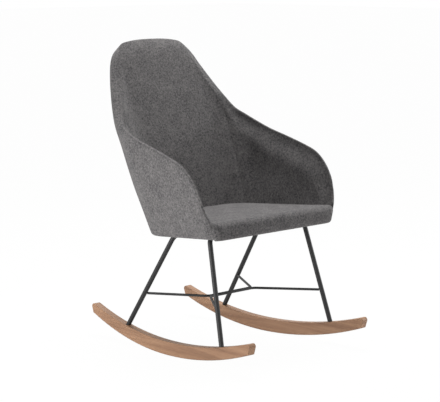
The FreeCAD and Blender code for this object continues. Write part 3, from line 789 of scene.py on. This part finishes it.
# Oiled wood with the grain running along Y, finer pores across it.
def woodMaterial(name, facts):
    material, n, link, shader = newMaterial(name)
    place = n.new("ShaderNodeTexCoord")
    stretch = n.new("ShaderNodeMapping")
    stretch.inputs["Scale"].default_value = facts["grainScale"]
    link.new(place.outputs["Object"], stretch.inputs["Vector"])
    wander = addNode(n, "ShaderNodeTexNoise", Scale=1.0, Detail=4.0, Roughness=0.55, Distortion=0.6)
    link.new(stretch.outputs["Vector"], wander.inputs["Vector"])
    pores = n.new("ShaderNodeMapping")
    pores.inputs["Scale"].default_value = tuple(v * facts["poreFactor"] for v in facts["grainScale"])
    link.new(place.outputs["Object"], pores.inputs["Vector"])
    fine = addNode(n, "ShaderNodeTexNoise", Scale=1.0, Detail=3.0, Roughness=0.7)
    link.new(pores.outputs["Vector"], fine.inputs["Vector"])
    broad = addNode(n, "ShaderNodeTexNoise", Scale=5.0, Detail=2.0)
    link.new(place.outputs["Object"], broad.inputs["Vector"])
    blend = addNode(n, "ShaderNodeMath", operation="MULTIPLY_ADD")
    link.new(fine.outputs["Fac"], blend.inputs[0])
    blend.inputs[1].default_value = facts["poreShare"]
    link.new(wander.outputs["Fac"], blend.inputs[2])
    shade = addNode(n, "ShaderNodeMath", operation="MULTIPLY_ADD")
    link.new(broad.outputs["Fac"], shade.inputs[0])
    shade.inputs[1].default_value = facts["broadShare"]
    link.new(blend.outputs[0], shade.inputs[2])
    ramp = n.new("ShaderNodeValToRGB")
    ramp.color_ramp.elements[0].position = facts["rampDark"]
    ramp.color_ramp.elements[0].color = colour(*facts["dark"])
    ramp.color_ramp.elements[1].position = facts["rampPale"]
    ramp.color_ramp.elements[1].color = colour(*facts["pale"])
    middle = ramp.color_ramp.elements.new(facts["rampMid"])
    middle.color = colour(*facts["mid"])
    link.new(shade.outputs[0], ramp.inputs["Fac"])
    link.new(ramp.outputs["Color"], shader.inputs["Base Color"])
    bump = addNode(n, "ShaderNodeBump", Strength=facts["bump"], Distance=facts["bumpDepth"])
    link.new(fine.outputs["Fac"], bump.inputs["Height"])
    link.new(bump.outputs["Normal"], shader.inputs["Normal"])
    shader.inputs["Roughness"].default_value = facts["rough"]
    return material


# Black non-woven lining with its pressed dots.
def liningMaterial(name):
    material, n, link, shader = newMaterial(name)
    place = n.new("ShaderNodeTexCoord")
    dots = addNode(n, "ShaderNodeTexVoronoi", Scale=420.0, feature="F1")
    link.new(place.outputs["Object"], dots.inputs["Vector"])
    fibres = addNode(n, "ShaderNodeTexNoise", Scale=260.0, Detail=4.0)
    link.new(place.outputs["Object"], fibres.inputs["Vector"])
    ramp = n.new("ShaderNodeValToRGB")
    ramp.color_ramp.elements[0].color = colour(16, 16, 17)
    ramp.color_ramp.elements[1].color = colour(46, 46, 48)
    link.new(fibres.outputs["Fac"], ramp.inputs["Fac"])
    link.new(ramp.outputs["Color"], shader.inputs["Base Color"])
    bump = addNode(n, "ShaderNodeBump", Strength=0.4, Distance=0.0003)
    link.new(dots.outputs["Distance"], bump.inputs["Height"])
    link.new(bump.outputs["Normal"], shader.inputs["Normal"])
    shader.inputs["Roughness"].default_value = 0.9
    return material


clothFinish = fabricMaterial("heather_grey_cloth")
# welt and seam cords are lighter copies of the cloth: a painted highlight along the rim and the inner
# seam, where the rolled edges catch light
weltHighlightFinish = fabricMaterial("welt_cloth_painted_highlight", 1.12, threads=False)
seamHighlightFinish = fabricMaterial("seam_cloth_painted_highlight", 1.10, threads=False)
frameFinish = grainedMetal("black_powder_coat", (17, 17, 18), 0.56, 0.0, 900.0, 0.0002)
zincFinish = grainedMetal("zinc_plate", (176, 178, 182), 0.34, 1.0, 300.0, 0.0001)
boltFinish = grainedMetal("black_oxide", (34, 33, 34), 0.40, 0.7, 500.0, 0.0001)
rockerFinish = woodMaterial("oiled_rocker_wood", wood)
liningFinish = liningMaterial("black_lining")

finishes = {
    "dust_cover": liningFinish,
    "tee_nuts": zincFinish,
    "frame_bolts": boltFinish,
    "frame_washers": zincFinish,
    "mounting_strap_left": frameFinish,
    "mounting_strap_right": frameFinish,
    "front_leg_tube": frameFinish,
    "rear_leg_tube": frameFinish,
    "front_stretcher_rod": frameFinish,
    "rear_stretcher_rod": frameFinish,
    "leg_end_plugs": zincFinish,
    "rocker_left": rockerFinish,
    "rocker_right": rockerFinish,
    "rocker_washers": zincFinish,
    "rocker_screws": boltFinish,
}


def dress(piece, finish):
    if piece.data.materials:
        for n in range(len(piece.material_slots)):
            piece.material_slots[n].link = "OBJECT"
            piece.material_slots[n].material = finish
    else:
        piece.data.materials.append(finish)


for nodeName, finish in finishes.items():
    dress(bpy.data.objects[nodeName], finish)
for piece in (tubShell, seatCushion):
    dress(piece, clothFinish)
dress(welt, weltHighlightFinish)
for piece in seams:
    dress(piece, seamHighlightFinish)
print("finishes done")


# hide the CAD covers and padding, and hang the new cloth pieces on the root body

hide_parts("outer_cover", "inner_back_cover", "inner_arm_cover_left", "inner_arm_cover_right",
            "shell_core", "back_foam", "arm_foam_left", "arm_foam_right")
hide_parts("seat_cover", "seat_foam", "seat_board", "edge_batten")
for piece in (tubShell, seatCushion, welt, *seams):
    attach(piece, "root")


# floor, backdrop colour and light

studio = {
    "floorHalf": 30.0,
    "floorTint": 0.94,
    "floorGlow": 0.98,        # how far the floor is lifted towards white for the eye
    "worldLight": 0.27,
    "keyPower": 17.0,
    "keyPlace": (-1.7, 0.20, 0.50),
    "keySize": 0.5,
    "topPower": 90.0,
    "topPlace": (0.6, 0.5, 3.0),
    "topSize": 1.6,
    "sidePower": 20.0,
    "sidePlace": (2.4, -1.4, 0.80),
    "sideSize": 0.5,
    "aim": (0.0, 0.0, 0.45),
}


# 1 for rays that see the backdrop, 0 for those that light the object.
def whiteForTheEye(n, link):
    path = n.new("ShaderNodeLightPath")
    total = None
    for ray in ("Is Camera Ray", "Is Glossy Ray", "Is Transmission Ray"):
        if total is None:
            total = path.outputs[ray]
        else:
            most = addNode(n, "ShaderNodeMath", operation="MAXIMUM")
            link.new(total, most.inputs[0])
            link.new(path.outputs[ray], most.inputs[1])
            total = most.outputs[0]
    return total


def makeFloor(facts):
    h = facts["floorHalf"]
    corners = [(-h, -h, 0), (h, -h, 0), (h, h, 0), (-h, h, 0)]
    floor = makeObject("floor", corners, [(0, 1, 2, 3)], smooth=False)
    material, n, link, shader = newMaterial("floor_paint")
    shader.inputs["Base Color"].default_value = (facts["floorTint"],) * 3 + (1.0,)
    shader.inputs["Roughness"].default_value = 0.8
    shader.inputs["Specular IOR Level"].default_value = 0.1
    glow = addNode(n, "ShaderNodeEmission", Strength=1.0)
    mix = n.new("ShaderNodeMixShader")
    share = addNode(n, "ShaderNodeMath", operation="MULTIPLY")
    link.new(whiteForTheEye(n, link), share.inputs[0])
    share.inputs[1].default_value = facts["floorGlow"]
    link.new(share.outputs[0], mix.inputs["Fac"])
    link.new(shader.outputs["BSDF"], mix.inputs[1])
    link.new(glow.outputs["Emission"], mix.inputs[2])
    link.new(mix.outputs["Shader"], n["Material Output"].inputs["Surface"])
    dress(floor, material)


def makeWorld(facts):
    world = bpy.data.worlds.new("studio")
    scene.world = world
    world.use_nodes = True
    n, link = world.node_tree.nodes, world.node_tree.links
    back = n["Background"]
    back.inputs["Color"].default_value = (1, 1, 1, 1)
    reach = addNode(n, "ShaderNodeMapRange", **{"To Min": facts["worldLight"], "To Max": 1.0})
    link.new(whiteForTheEye(n, link), reach.inputs["Value"])
    link.new(reach.outputs["Result"], back.inputs["Strength"])


def softLamp(name, place, power, width, aim):
    data = bpy.data.lights.new(name, "AREA")
    data.energy = power
    data.shape = "DISK"
    data.size = width
    lamp = bpy.data.objects.new(name, data)
    scene.collection.objects.link(lamp)
    lamp.location = place
    lamp.rotation_euler = (Vector(place) - Vector(aim)).to_track_quat("Z", "Y").to_euler()


makeFloor(studio)
makeWorld(studio)
softLamp("keyLamp", studio["keyPlace"], studio["keyPower"], studio["keySize"], studio["aim"])
softLamp("topLamp", studio["topPlace"], studio["topPower"], studio["topSize"], studio["aim"])
softLamp("sideLamp", studio["sidePlace"], studio["sidePower"], studio["sideSize"], studio["aim"])
scene.view_settings.view_transform = "Standard"
print("studio ready")
